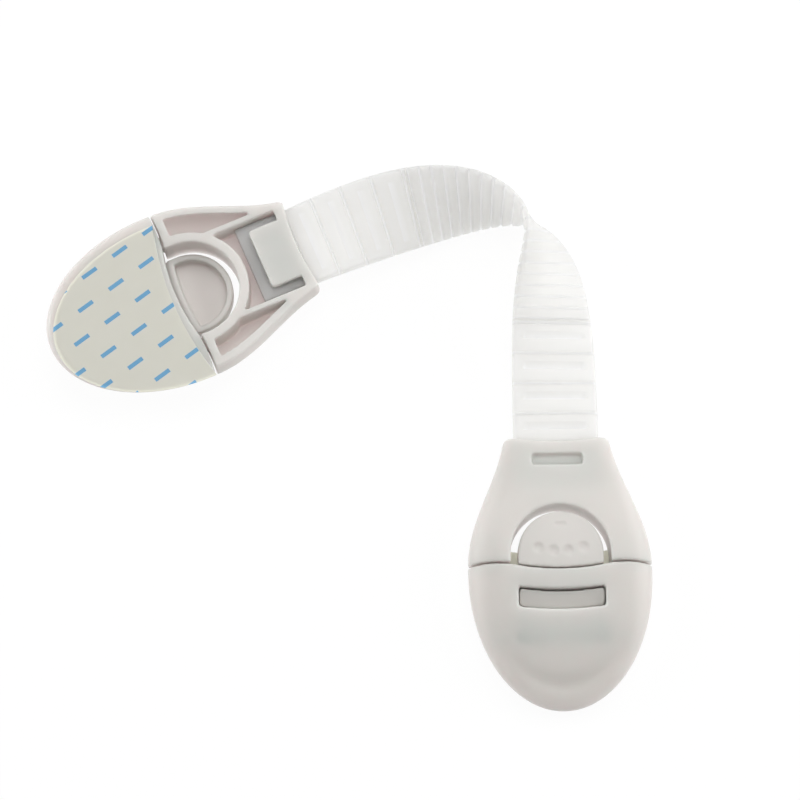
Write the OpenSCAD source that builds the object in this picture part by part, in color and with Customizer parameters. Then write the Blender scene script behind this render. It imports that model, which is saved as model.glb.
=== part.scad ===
// Cabinet safety lock: two egg-shaped stick-on heads joined by a ribbed ratchet strap.
// Each head has its own directions: u runs along the head towards the strap, v across it,
// and w out of its front. The seam between base and housing lies at u = 0, the back at w = 0.
// The origin is the middle of the right head's sticky face. The left head lies face down.

/* [Head] */
// Height of the front above the back plane, at the seam
head_h = 10.3; // [9.6:0.1:12]
// Half the width of a head at its seam
seam_hw = 22.9; // [21.5:0.1:25]
// Height of the upright side wall below the dome
rim_h = 3; // [2.4:0.1:3.6]
// How far the back edge is drawn in from the widest line
foot_in = 1; // [0.4:0.1:1.2]
// Gap between base and housing at the seam
seam_gap = 0.5; // [0.3:0.05:0.8]
// How far the middle of the seam bows towards the tip
seam_sag = 1.5; // [0.8:0.1:1.8]
// How far each side of the seam bows towards the strap
seam_bow = 0.3; // [0.1:0.1:0.8]

/* [Base] */
// Length of the base's elliptical end
egg_l = 34.3; // [32:0.1:40]
// Straight run between the seam and the elliptical end
egg_run = 1.8; // [1:0.1:4]
// Fall of the crown from seam to tip
tip_fall = 3.4; // [2:0.1:4]
// Depth of the soft crescent hollow near the tip
dent_d = 0.55; // [0.2:0.05:0.9]
// Thickness of the base's back plate
back_t = 1.5; // [1.2:0.1:1.8]
// Length of the cavity that takes the insert
cavity_l = 19.5; // [18.5:0.1:21]
// Height of the cavity's roof over the latch tongue
roof_w = 7.3; // [7.1:0.05:7.5]
// Length of the catch window along the head
window_l = 5; // [4.5:0.1:6]
// Distance of the catch window from the seam
window_u = 5.9; // [5.2:0.1:6.6]
// Half the width of the catch window
window_hw = 10.75; // [10.4:0.05:11]
// Bow of the catch window towards the tip
window_sag = 0.8; // [0.4:0.1:1.2]

/* [Housing] */
// Length of the housing from the seam to the strap end
housing_l = 32.9; // [31.5:0.1:35]
// Half the width of the housing's narrow end
end_hw = 12.9; // [12.7:0.1:14]
// Height of the front at the strap end
end_h = 6.6; // [6.4:0.1:7.6]
// Run of the bell-shaped narrowing
bell_run = 37.3; // [36:0.1:42]
// Radius of the plan corners at the strap end
end_r = 1.5; // [1:0.1:2.2]
// Hollow of the strap-end edge
end_sag = 1.2; // [0.4:0.1:1.4]
// Thickness of the housing's side wall
side_t = 2.1; // [1.6:0.1:2.4]
// Thickness of the housing's front wall
front_t = 2; // [1.6:0.1:2.1]
// Thickness of the band that the strap passes through
band_t = 3.2; // [2.8:0.1:3.6]
// Thickness of the wall along the seam
seam_t = 2.7; // [2.2:0.1:3.2]
// Radius of the half-round finger hole
hole_r = 12.6; // [12.3:0.1:13]
// Distance of the finger hole's centre from the seam
hole_u = 2.5; // [2.2:0.1:3.2]
// Thickness of the wall round the finger hole
ring_t = 2.5; // [2:0.1:2.8]
// Thickness of the two straight ribs
rib_t = 1.4; // [1.1:0.1:1.7]

/* [Insert] */
// Half the distance between the insert legs
leg_v = 12.9; // [12.6:0.1:13.1]
// Width of an insert leg
leg_b = 3.3; // [2.8:0.1:3.6]
// Thickness of the insert legs and their crossbar
leg_t = 2.6; // [2.3:0.1:2.6]
// Length of the crossbar along the head
bar_l = 3.2; // [2.8:0.1:3.4]

/* [Latch] */
// Radius of the half-round push button
button_r = 10.3; // [10.1:0.1:10.8]
// Wall of the hollow push button
button_t = 1.6; // [1.2:0.1:1.9]
// Height of the button's lower rim
button_w = 4.6; // [4.4:0.1:4.8]
// How far the button lies below the crown
button_drop = 0.6; // [0.4:0.1:1]
// Half the width of the latch tongue
tongue_hw = 10.3; // [9.8:0.1:10.35]
// Thickness of the latch tongue
tongue_t = 1.5; // [1.2:0.1:1.6]
// Radius of the tongue's round root
root_r = 1.1; // [0.9:0.05:1.2]
// Height of the tongue's root axis
root_w = 4.9; // [4.85:0.05:5]
// How far the catch rises past the cavity's roof
catch_d = 1.3; // [1:0.05:1.4]
// Radius of the finger dimples
dimple_r = 1.5; // [1.2:0.1:1.7]
// Depth of the finger dimples
dimple_d = 0.45; // [0.3:0.05:0.5]

/* [Tape] */
// Thickness of the foam pad
foam_t = 1; // [0.8:0.1:1.6]
// Thickness of the release liner
liner_t = 0.2; // [0.15:0.05:0.3]
// Inset of the foam from the base's outline
foam_inset = 1.8; // [1.5:0.1:3]
// Inset of the liner from the base's outline
liner_inset = 1.3; // [1:0.1:2.5]
// Hollow of the tape's seam-side edge
tape_sag = 2.9; // [1:0.1:3.5]
// Sideways shift of the left head's hand-laid tape
tape_slip = 2.7; // [0:0.1:3]
// Reach of the right liner's peel tab past the seam
liner_tab = 7; // [1:0.1:7.5]

/* [Strap] */
// Width of the strap
strap_b = 21.5; // [20:0.1:21.6]
// Length of strap between the two heads, in plan
strap_l = 118.5; // [116:0.5:122]
// Room between each end of the strap and the finger hole's wall
strap_room = 1.1; // [0.7:0.1:2]
// Thickness of the web between the ribs
web_t = 1.1; // [0.9:0.05:1.3]
// Thickness of the strap at its ribs and ladder cells
strap_t = 2; // [1.8:0.05:2.1]
// Number of bending ribs
rib_n = 20; // [14:1:20]
// Distance between bending ribs
rib_pitch = 2.85; // [2.6:0.05:2.9]
// Distance between ladder cells
cell_pitch = 7.75; // [7.5:0.05:8]
// Distance of the first ratchet recess from the housing
recess_u = 2.4; // [2:0.1:2.6]
// Length of a ratchet recess
recess_l = 2; // [1.7:0.1:2.2]
// Width of a ratchet recess
recess_b = 16; // [14.5:0.1:17]
// Depth of a ratchet recess
recess_d = 0.8; // [0.6:0.05:0.9]
// Width of the groove between ladder cells
groove_l = 0.8; // [0.6:0.05:1]
// Thinned border along both edges of the strap
border_b = 1.2; // [0.9:0.1:1.5]
// Height of the strap's middle plane above a head's back
strap_w = 3.1; // [3.05:0.05:3.2]
// Room round the strap in its passage
strap_gap = 0.2; // [0.15:0.05:0.25]

/* [Strap tongue] */
// Width of the tongue plate that presses on the strap
plate_b = 16.2; // [15:0.1:17]
// Length of the tongue plate from the strap end
plate_l = 11.3; // [10.5:0.1:12]
// Thickness of the tongue plate
plate_t = 1.8; // [1.6:0.05:1.85]
// Half the width of the pawl's front slot
slot_hw = 6.4; // [5.8:0.1:7]
// Length of the pawl's front slot
slot_l = 2.9; // [2.6:0.1:3.2]
// Distance of the front slot from the strap end
slot_u = 4.6; // [4.1:0.1:4.6]

/* [Lay] */
// Direction of the right head, seen from above
head_turn = 91; // [80:0.5:100]
// Turn of the strap between the heads
strap_turn = 112.5; // [100:0.5:120]
// Length over which the strap takes up its turn, from the right head
turn_in_l = 5.7; // [5:0.1:12]
// Length over which the strap ends its turn, towards the left head
turn_out_l = 29; // [20:0.5:40]
// Length over which the strap starts to roll over, from the right head
roll_in_l = 24; // [20:0.5:60]
// Length over which the strap ends its roll, towards the left head
roll_out_l = 78; // [50:0.5:90]
// Lift of the strap's lower edge at the roll
lift = 0.2; // [0.1:0.05:1]

/* [Hidden] */
$fn = 64;

// Overrun of every cut past its face
over = 1.5;
// Room between pieces that slide past each other, round the latch's root, and across its window
slide_gap = 0.3;
root_gap = 0.12;
catch_gap = 0.5;
// Edge of the tape short of the seam
tape_edge = 0.3;
// Radius of the button's shallow dome
dome_r = 80;
// Length and radius of the small dash below the button's far edge
dash_l = 3;
dash_r = 0.7;
// Reach of the pawl's spring arm into the wall, room beside it, and its depth below the front
pawl_t = 1.9;
arm_gap = 0.4;
arm_drop = 0.9;
// Run of the strap's steep steps and of the chamfers on its ribs
step_l = 0.12;

// Curves of the front: fullness across the seam and across the strap end, roundness of the shoulder,
// and how late the front falls towards the strap
seam_power = 3.2;
end_power = 7;
shoulder_power = 2.2;
fall_power = 1.4;
// Crescent hollow: place and spread, as shares of the way from the seam's middle to the rim
dent_share = 0.83;
dent_spread_share = 0.07;
// Middle of the strap's turn and of its roll, as shares of its length
turn_share = 0.518;
roll_share = 0.595;
// Edges of a bending rib's foot and top, as shares of the rib pitch
rib_shares = [0.1, 0.24, 0.76, 0.9];
// Place of the groove in a ladder cell, as a share of the cell
groove_share = 0.53;
// Finger dimples along and across the button, as shares of its radius
dimple_shares = [[0.14, 0.55], [0.06, 0.18], [0.06, -0.18], [0.14, -0.55]];
// Place of the dash, as a share of the button's radius
dash_share = 0.7;

// Facets of the lofted surfaces, and steps that the strap's course is summed over
dome_rings = 9;
dome_steps = 28;
bell_steps = 13;
bell_across = 24;
corner_steps = 4;
wave_steps = 10;
course_n = 120;

tape_t = foam_t + liner_t;
tip_u = -egg_run - egg_l;
origin_u = (tip_u + liner_inset - tape_edge) / 2;
hinge_u = -cavity_l + slide_gap + bar_l / 2;
leg_w = back_t + slide_gap;
leg_top = leg_w + leg_t;
tongue_top = root_w + tongue_t;
ring_r = hole_r + ring_t;
strap_in = housing_l - hole_u - ring_r - strap_room;
pocket_hw = strap_b / 2 + strap_gap;
button_top = head_h - button_drop;
rib_start = (strap_l - rib_n * rib_pitch) / 2;
pawl_u = housing_l + recess_u - cell_pitch + strap_gap;
pawl_w = strap_w + strap_t / 2 - recess_d + strap_gap;

plastic = [0.847, 0.839, 0.820];
foam_white = [0.93, 0.93, 0.91];
liner_paper = [0.792, 0.796, 0.761];
milky = [0.933, 0.929, 0.918];

// Solid through a row of rings that all have the same number of points
module loft(rings) {
    n = len(rings[0]);
    m = len(rings);
    sides = [
        for (i = [0:m - 2], j = [0:n - 1])
            let (k = (j + 1) % n, a = i * n + j, b = i * n + k)
                each [[a, b, b + n], [a, b + n, a + n]]
    ];
    start = [for (j = [n - 1:-1:0]) j];
    end = [for (j = [0:n - 1]) (m - 1) * n + j];
    polyhedron([for (r = rings) each r], concat(sides, [start, end]), convexity = 10);
}

// Box from one corner to the opposite one
module span(low, high) {
    translate(low)
        cube(high - low);
}

// Upright cylinder through the whole head, standing at u
module post(u, r) {
    translate([u, 0, -over])
        cylinder(r = r, h = head_h + 2 * over);
}

// Height share of the dome at a share s of the way from its middle to its rim
function dome(s, power) = pow(max(0, 1 - pow(abs(s), power)), 1 / shoulder_power);

// Line of the seam across the head
function wave(v) =
    abs(v) < hole_r ? -seam_sag * (1 - pow(v / hole_r, 2))
    : abs(v) < seam_hw ? seam_bow * sin(180 * (abs(v) - hole_r) / (seam_hw - hole_r))
    : 0;

// Everything on the strap's side of the seam line, shifted along the head
module beyond_seam(shift) {
    far_v = seam_hw + over;
    side_step = (seam_hw - hole_r) / wave_steps;
    mid_step = 2 * hole_r / wave_steps;
    across = concat(
        [-far_v],
        [for (i = [0:wave_steps - 1]) -seam_hw + i * side_step],
        [for (i = [0:wave_steps]) -hole_r + i * mid_step],
        [for (i = [1:wave_steps]) hole_r + i * side_step],
        [far_v]
    );
    line = [for (v = across) [wave(v) + shift, v]];
    translate([0, 0, -over])
        linear_extrude(head_h + 2 * over)
            polygon(concat(line, [[housing_l + over, far_v], [housing_l + over, -far_v]]));
}

// Half outline of the egg, drawn in by an inset, from one side of the seam round the tip to the other
function egg(inset, start_u) = concat(
    [[start_u, inset - seam_hw]],
    [
        for (j = [0:dome_steps])
            let (a = 180 * j / dome_steps - 90)
                [-egg_run - (egg_l - inset) * cos(a), (seam_hw - inset) * sin(a)]
    ],
    [[start_u, seam_hw - inset]]
);

// Height of the base's front, at a share s of the way to the outline point p
function base_top(s, p) =
    let (
        u = over + s * (p.x - over),
        tip_share = max(0, u / tip_u),
        crown = head_h - tip_fall * pow(tip_share, 2),
        hollow = exp(-pow((s - dent_share) / dent_spread_share, 2))
    )
    [u, s * p.y, rim_h + (crown - rim_h) * dome(s, seam_power) - dent_d * pow(tip_share, 3) * hollow];

// Outer form of the base, with a plain end past the seam
module egg_form() {
    edge = egg(0, over);
    n = len(edge);
    rings = [for (k = [1:dome_rings]) sin(90 * k / dome_rings)];
    top = [for (s = rings, p = edge) base_top(s, p)];
    foot = [for (p = egg(foot_in, over)) [p.x, p.y, 0]];
    mid = len(top) + n;
    out = (dome_rings - 1) * n;
    faces = concat(
        [
            for (k = [0:dome_rings - 2], j = [0:n - 2])
                let (a = k * n + j, b = a + n)
                    each [[b, b + 1, a + 1], [b, a + 1, a]]
        ],
        [for (j = [0:n - 2]) [j, j + 1, mid]],
        [
            for (j = [0:n - 2])
                let (t = out + j, f = len(top) + j)
                    each [[t, f, f + 1], [t, f + 1, t + 1]]
        ],
        [[for (j = [n - 1:-1:0]) len(top) + j]],
        [
            concat(
                [len(top)],
                [for (k = [dome_rings - 1:-1:0]) k * n],
                [mid],
                [for (k = [0:dome_rings - 1]) k * n + n - 1],
                [len(top) + n - 1]
            )
        ]
    );
    polyhedron(concat(top, foot, [[over, 0, head_h]]), faces, convexity = 6);
}

// Bowed window in the base's roof, drawn in by a clearance
module window(inset, low, high) {
    bow_r = window_hw * window_hw / (2 * window_sag);
    near_u = bow_r - window_u - window_sag - inset;
    far_u = bow_r - window_u - window_sag - window_l + inset;
    hw = window_hw - inset;
    difference() {
        intersection() {
            span([-window_u - 2 * window_l, -hw, low], [0, hw, high]);
            translate([far_u, 0, low - over])
                cylinder(r = bow_r, h = high - low + 2 * over, $fn = 180);
        }
        translate([near_u, 0, low - over])
            cylinder(r = bow_r, h = high - low + 2 * over, $fn = 180);
    }
}

// Hollow slipper that is stuck to the door
module base() {
    leg_hw = leg_v + leg_b + slide_gap;
    tongue_room = window_hw + slide_gap;
    color(plastic)
        difference() {
            egg_form();
            beyond_seam(-seam_gap / 2);
            span([-cavity_l, -leg_hw, back_t], [over, leg_hw, leg_top + slide_gap]);
            span([-cavity_l, -tongue_room, back_t], [over, tongue_room, roof_w]);
            window(0, roof_w - over, head_h + over);
        }
}

// Plan of the sticky tape: the egg drawn in, with a hollow edge that starts at edge_u
module tape(inset, thick, edge_u) {
    hw = seam_hw - inset;
    hollow = [
        for (i = [1:wave_steps - 1])
            let (v = hw - 2 * hw * i / wave_steps)
                [edge_u - tape_sag * (1 - pow(v / hw, 2)), v]
    ];
    linear_extrude(thick)
        polygon(concat(egg(inset, edge_u), hollow));
}

// Foam tape on the base's back
module foam_pad(slip) {
    color(foam_white)
        translate([0, slip, -foam_t])
            tape(foam_inset, foam_t, -tape_edge);
}

// Paper over the foam's sticky face
module release_liner(slip, edge_u) {
    color(liner_paper)
        translate([0, slip, -tape_t])
            tape(liner_inset, liner_t, edge_u);
}

// Half the housing's width, and the height of its front, along the head
function bell(u) = end_hw + (seam_hw - end_hw) * (1 + cos(180 * max(0, u) / bell_run)) / 2;
function corner(u) =
    u < housing_l - end_r ? 0 : end_r - sqrt(max(0, end_r * end_r - pow(u - housing_l + end_r, 2)));
function front(u) = head_h - (head_h - end_h) * pow(max(0, u) / housing_l, fall_power);

// Cross-section of the housing at u, drawn in at its sides and front
function section(u, side, skin, floor_w) =
    let (
        hw = bell(u) - corner(u) - side,
        foot_hw = hw - foot_in * (rim_h - floor_w) / rim_h,
        power = seam_power + (end_power - seam_power) * max(0, u) / housing_l
    )
    concat(
        [[u, foot_hw, floor_w], [u, -foot_hw, floor_w]],
        [
            for (j = [0:bell_across])
                let (s = -cos(180 * j / bell_across))
                    [u, s * hw, rim_h + (front(u) - skin - rim_h) * dome(s, power)]
        ]
    );

// Outer form of the housing, with a plain end past the seam
module bell_form() {
    run = housing_l - end_r + over;
    straight = [for (i = [0:bell_steps]) -over + run * i / bell_steps];
    round_end = [for (i = [1:corner_steps]) housing_l - end_r + end_r * sin(90 * i / corner_steps)];
    loft([for (u = concat(straight, round_end)) section(u, 0, 0, 0)]);
}

// Room inside the housing's walls, from the seam wall to the strap's band
module bell_core() {
    run = housing_l - band_t - seam_t;
    loft([for (i = [0:bell_steps]) section(seam_t + run * i / bell_steps, side_t, front_t, -over)]);
}

// Round wall of the finger hole, or the hole itself
module finger_round(r) {
    post(hole_u, r);
    span([-over - seam_sag, -r, -over], [hole_u, r, head_h + over]);
}

// Insert that slides into the base: two legs and the crossbar that carries the latch's root
module insert() {
    outer_v = leg_v + leg_b;
    far_u = -cavity_l + slide_gap;
    for (side = [0, 1])
        mirror([0, side, 0])
            span([far_u, leg_v, leg_w], [seam_t, outer_v, leg_top]);
    difference() {
        span([far_u, -outer_v, leg_w], [far_u + bar_l, outer_v, leg_top]);
        root_round(root_r + root_gap, outer_v);
    }
}

// Round along the latch's root
module root_round(r, hw) {
    translate([hinge_u, hw, root_w])
        rotate([90, 0, 0])
            cylinder(r = r, h = 2 * hw);
}

// Spring arm in the front slot, with the tooth that drops into the strap's ratchet recess
module pawl() {
    hang_u = housing_l - slot_u + pawl_t;
    hang_w = strap_w + strap_t / 2 + strap_gap;
    arm_u = housing_l - slot_u - slot_l + arm_gap;
    arm_hw = slot_hw - arm_gap;
    arm_w = front(hang_u) - arm_drop;
    translate([0, arm_hw, 0])
        rotate([90, 0, 0])
            linear_extrude(2 * arm_hw)
                polygon([
                    [arm_u, hang_w],
                    [pawl_u, hang_w],
                    [pawl_u, pawl_w],
                    [pawl_u + recess_l, hang_w],
                    [hang_u, hang_w],
                    [hang_u, arm_w],
                    [arm_u, arm_w]
                ]);
}

// Bell-shaped half that holds the strap
module strap_housing() {
    sag_r = end_hw * end_hw / (2 * end_sag);
    band_u = housing_l - band_t;
    strap_top = strap_w + strap_t / 2 + strap_gap;
    strap_foot = strap_w - strap_t / 2 - strap_gap;
    slot_end = housing_l - slot_u;
    color(plastic) {
        difference() {
            bell_form();
            difference() {
                post(0, seam_hw + over);
                beyond_seam(seam_gap / 2);
            }
            post(housing_l - end_sag + sag_r, sag_r);
            difference() {
                bell_core();
                finger_round(ring_r);
                for (side = [0, 1])
                    mirror([0, side, 0])
                        span([0, pocket_hw, -over], [housing_l, pocket_hw + rib_t, head_h]);
            }
            finger_round(hole_r);
            span([band_u - over, -pocket_hw, strap_foot], [housing_l + over, pocket_hw, strap_top]);
            span([slot_end - slot_l, -slot_hw, strap_top], [slot_end, slot_hw, head_h]);
        }
        span([housing_l - plate_l, -plate_b / 2, 0], [band_u + step_l, plate_b / 2, plate_t]);
        pawl();
        insert();
    }
}

// Height of the button's dome
function button_front(u, v) = button_top - dome_r + sqrt(dome_r * dome_r - u * u - v * v);

// Plan of the button, drawn in by its wall, under a dome of the same middle
module button_form(inset, low) {
    r = button_r - inset;
    bow_r = hole_r * hole_r / (2 * seam_sag);
    intersection() {
        union() {
            translate([hole_u, 0, low])
                cylinder(r = r, h = head_h);
            span([-seam_sag, -r, low], [hole_u, r, low + head_h]);
        }
        post(bow_r - seam_sag + seam_gap / 2 + inset, bow_r);
        translate([0, 0, button_top - dome_r])
            sphere(r = dome_r - inset, $fn = 128);
    }
}

// Shallow round dent in the button's front
module dimple(u, v) {
    ball_r = (dimple_r * dimple_r + dimple_d * dimple_d) / (2 * dimple_d);
    translate([u, v, button_front(u, v) + ball_r - dimple_d])
        sphere(r = ball_r);
}

// Catch on the tongue: square towards the seam, sloping towards the tip
module catch() {
    low_u = -window_u - window_l + catch_gap;
    high_u = -window_u - catch_gap;
    intersection() {
        window(catch_gap, root_w, head_h);
        translate([0, tongue_hw, 0])
            rotate([90, 0, 0])
                linear_extrude(2 * tongue_hw)
                    polygon([
                        [low_u - window_sag, root_w],
                        [low_u - window_sag, tongue_top],
                        [low_u, tongue_top],
                        [high_u, roof_w + catch_d],
                        [high_u, root_w]
                    ]);
    }
}

// Push button, its spring tongue and its catch
module latch_button() {
    dash_u = hole_u + dash_share * button_r;
    color(plastic) {
        difference() {
            button_form(0, button_w);
            button_form(button_t, button_w - over);
            for (s = dimple_shares)
                dimple(hole_u + s.x * button_r, s.y * button_r);
            translate([dash_u, dash_l / 2, button_front(dash_u, 0) + dash_r / 2])
                rotate([90, 0, 0])
                    cylinder(r = dash_r, h = dash_l);
        }
        span([hinge_u, -tongue_hw, root_w], [seam_gap / 2, tongue_hw, tongue_top]);
        root_round(root_r, tongue_hw);
        catch();
    }
}

// Smooth step along the strap: 0 at the right head, 1 at the left, steepest at a share of the length,
// with one run before that place and another after it
function ease(x, run) = x / sqrt(x * x + run * run);
function bend(x, runs) =
    let (mid = (runs[0] + runs[1]) / 2)
    ease(x, mid + ease(x, mid) * (runs[1] - runs[0]) / 2);
function along(s, share, runs) =
    let (
        t = min(max(s, 0), strap_l),
        low = bend(-share * strap_l, runs),
        high = bend((1 - share) * strap_l, runs)
    )
    (bend(t - share * strap_l, runs) - low) / (high - low);

// Heading and roll of the strap, and height of its middle line
function heading(s) = head_turn + strap_turn * along(s, turn_share, [turn_in_l, turn_out_l]);
function roll(s) = 180 * along(s, roll_share, [roll_in_l, roll_out_l]);
function level(s) =
    let (
        right_z = tape_t + strap_w,
        left_z = head_h - strap_w,
        t = min(max(s, 0), strap_l) / strap_l,
        flat_z = right_z + (left_z - right_z) * t
    )
    flat_z + (strap_b / 2 + lift - flat_z) * sin(roll(s));

// Course of the strap in plan, summed from the right head's mouth
mouth = (housing_l - origin_u) * [cos(head_turn), sin(head_turn)];
course_step = strap_l / course_n;
course = [
    for (
        i = 0, p = mouth;
        i <= course_n;
        a = heading((i + 1 / 2) * course_step),
        p = p + course_step * [cos(a), sin(a)],
        i = i + 1
    )
        [i * course_step, p.x, p.y]
];
course_x = [for (c = course) [c[0], c[1]]];
course_y = [for (c = course) [c[0], c[2]]];

// Point of the middle line, carried on straight inside the housings
function middle(s) =
    let (
        t = min(max(s, 0), strap_l),
        a = heading(s)
    )
    [
        lookup(t, course_x) + (s - t) * cos(a),
        lookup(t, course_y) + (s - t) * sin(a),
        level(s)
    ];

// Ring of the strap at a station: length along it, share of groove, share of recess
function strap_ring(station) =
    let (
        s = station[0],
        a = heading(s),
        rise = (level(s + step_l) - level(s - step_l)) / (2 * step_l),
        t = [cos(a), sin(a), rise] / sqrt(1 + rise * rise),
        flat = [-sin(a), cos(a), 0],
        up = cross(t, flat),
        w = cos(roll(s)) * flat + sin(roll(s)) * up,
        n = cos(roll(s)) * up - sin(roll(s)) * flat,
        hw = strap_b / 2,
        in_hw = hw - border_b,
        back = -strap_t / 2 + (strap_t - web_t) * station[1],
        face = strap_t / 2,
        thin = face - (strap_t - web_t) / 2,
        dent = face - recess_d * station[2],
        profile = [
            [hw, max(back, -thin)], [in_hw, back], [-in_hw, back], [-hw, max(back, -thin)],
            [-hw, thin], [-in_hw, face], [-recess_b / 2, face], [step_l - recess_b / 2, dent],
            [recess_b / 2 - step_l, dent], [recess_b / 2, face], [in_hw, face], [hw, thin]
        ]
    )
    [for (q = profile) middle(s) + q.x * w + q.y * n];

// Stations of one ladder cell: steep recess wall, ramp out of it, then the groove
function cell(k) =
    let (
        r = recess_u + k * cell_pitch,
        g = r + groove_share * cell_pitch,
        half = groove_l / 2
    )
    [
        [r, 0, 0], [r + step_l, 0, 1], [r + recess_l, 0, 0],
        [g - half, 0, 0], [g - half + step_l, 1, 0], [g + half - step_l, 1, 0], [g + half, 0, 0]
    ];

// Ribbed ratchet strap
module strap() {
    cells = 4;
    ladder = [for (k = [-1:cells - 1]) each cell(k)];
    ribs = [
        for (i = [0:rib_n - 1], j = [0:3])
            [rib_start + (i + rib_shares[j]) * rib_pitch, j == 0 || j == 3 ? 1 : 0, 0]
    ];
    far_ladder = [
        for (i = [len(ladder) - 1:-1:0])
            [strap_l - ladder[i][0], ladder[i][1], ladder[i][2]]
    ];
    stations = concat([[-strap_in, 0, 0]], ladder, ribs, far_ladder, [[strap_l + strap_in, 0, 0]]);
    color(milky)
        loft([for (s = stations) strap_ring(s)]);
}

// Place of the right head: face up, its sticky face on the ground at the origin
module right_head() {
    rotate([0, 0, head_turn])
        translate([-origin_u, 0, tape_t])
            children();
}

// Place of the left head: face down at the far end of the strap
module left_head() {
    far = middle(strap_l);
    translate([far.x, far.y, head_h])
        rotate([180, 0, head_turn + strap_turn + 180])
            translate([-housing_l, 0, 0])
                children();
}

module right_base() { right_head() base(); }
module right_foam_pad() { right_head() foam_pad(0); }
module right_release_liner() { right_head() release_liner(0, liner_tab); }
module right_strap_housing() { right_head() strap_housing(); }
module right_latch_button() { right_head() latch_button(); }
module left_base() { left_head() base(); }
module left_foam_pad() { left_head() foam_pad(tape_slip); }
module left_release_liner() { left_head() release_liner(tape_slip, -tape_edge); }
module left_strap_housing() { left_head() strap_housing(); }
module left_latch_button() { left_head() latch_button(); }

right_base();
right_foam_pad();
right_release_liner();
right_strap_housing();
right_latch_button();
left_base();
left_foam_pad();
left_release_liner();
left_strap_housing();
left_latch_button();
strap();
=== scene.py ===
"""Dressed model of a stick-on cabinet strap lock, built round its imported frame.

Lengths in the classes are millimetres. A head is built in its own directions, with u along it towards
the strap, v across it and w out of its front, and is then put in its place in the row frame, which is in
metres.
"""

import logging
from dataclasses import dataclass
from enum import Enum
from math import cos, exp, hypot, pi, radians, sin, sqrt
from typing import Any, Callable, Iterable

import bmesh
import bpy
from bmesh.types import BMEdge, BMesh, BMLoop, BMVert
from bpy.types import ID, Material, Node, NodeSocket, NodeTree, Object, World
from mathutils import Matrix, Vector

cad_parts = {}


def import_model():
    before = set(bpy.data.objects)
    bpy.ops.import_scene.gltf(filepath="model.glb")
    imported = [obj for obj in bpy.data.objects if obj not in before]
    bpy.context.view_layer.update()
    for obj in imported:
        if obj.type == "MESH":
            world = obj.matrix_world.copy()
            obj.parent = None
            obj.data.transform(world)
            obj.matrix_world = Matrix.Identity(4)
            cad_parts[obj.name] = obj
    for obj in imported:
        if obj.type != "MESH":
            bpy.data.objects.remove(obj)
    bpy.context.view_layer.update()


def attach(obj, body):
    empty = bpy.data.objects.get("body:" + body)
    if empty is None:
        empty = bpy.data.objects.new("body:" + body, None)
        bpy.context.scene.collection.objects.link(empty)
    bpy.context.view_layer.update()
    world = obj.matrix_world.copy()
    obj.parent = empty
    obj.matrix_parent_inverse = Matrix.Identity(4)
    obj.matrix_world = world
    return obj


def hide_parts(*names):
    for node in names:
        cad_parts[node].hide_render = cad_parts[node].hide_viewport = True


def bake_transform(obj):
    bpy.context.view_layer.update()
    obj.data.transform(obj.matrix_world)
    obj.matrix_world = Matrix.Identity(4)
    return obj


LOG = logging.getLogger("strap_lock")
MM = 0.001
IMAGE_WIDTH_PX = 800
SENSOR_MM = 36.0
WHITE = (1, 1, 1, 1)
WELD_MM = 1e-5
FOLD_MM = 1e-4
SHARP_RAD = radians(50)
CORNER_RAD = radians(40)
RIM_RAD = radians(60)


class Side(Enum):
    """The two heads, named as they lie in the picture."""

    RIGHT = "right"
    LEFT = "left"


class Cut(Enum):
    """Ways in which one solid shapes another."""

    TAKE = "DIFFERENCE"
    ADD = "UNION"
    KEEP = "INTERSECT"


def linear(code: str) -> tuple[float, float, float, float]:
    """Turns an sRGB hex code into a linear colour.

    Args:
        code: Six hex digits.

    Returns:
        The linear red, green and blue shares, and full opacity.
    """
    shares = [int(code[i:i + 2], 16) / 255 for i in (0, 2, 4)]
    red, green, blue = (
        s / 12.92 if s <= 0.04045 else ((s + 0.055) / 1.055) ** 2.4 for s in shares
    )
    return red, green, blue, 1.0


def add_node(
    tree: NodeTree,
    kind: str,
    links: dict[Any, NodeSocket] | None = None,
    values: dict[Any, Any] | None = None,
    **settings: Any,
) -> Node:
    """Adds one shader node with its settings and links.

    Args:
        tree: Node tree that gets the node.
        kind: Type name of the node.
        links: Output sockets that feed its inputs, by input name or number.
        values: Constant values of its inputs, by input name or number.
        settings: Attributes of the node.

    Returns:
        The new node.
    """
    node = tree.nodes.new(kind)
    for name, setting in settings.items():
        setattr(node, name, setting)
    for key, value in (values or {}).items():
        node.inputs[key].default_value = value
    for key, socket in (links or {}).items():
        tree.links.new(socket, node.inputs[key])
    return node


def maths(tree: NodeTree, operation: str, *terms: NodeSocket | float, clamp: bool = False) -> NodeSocket:
    """Adds one arithmetic node.

    Args:
        tree: Node tree that gets the node.
        operation: What the node works out.
        terms: Sockets or numbers that it works on.
        clamp: True to keep the result between 0 and 1.

    Returns:
        The result.
    """
    links = {i: term for i, term in enumerate(terms) if isinstance(term, NodeSocket)}
    values = {i: term for i, term in enumerate(terms) if i not in links}
    return add_node(tree, "ShaderNodeMath", links, values, operation=operation, use_clamp=clamp).outputs[0]


def tinted(tree: NodeTree, body: NodeSocket, code: str, share: NodeSocket) -> NodeSocket:
    """Mixes a plain colour into another by a share, and gives the colour."""
    return add_node(
        tree, "ShaderNodeMix", {"Factor": share, "A": body}, {"B": linear(code)}, data_type="RGBA",
    ).outputs["Result"]


def empty_tree(owner: Material | World) -> NodeTree:
    """Turns on the nodes of a material or a world and gives its emptied tree."""
    owner.use_nodes = True
    owner.node_tree.nodes.clear()
    return owner.node_tree


def show(name: str, data: ID) -> Object:
    """Puts a new object with a mesh, a light or a camera into the scene, and gives it."""
    shown = bpy.data.objects.new(name, data)
    bpy.context.scene.collection.objects.link(shown)
    return shown


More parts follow.
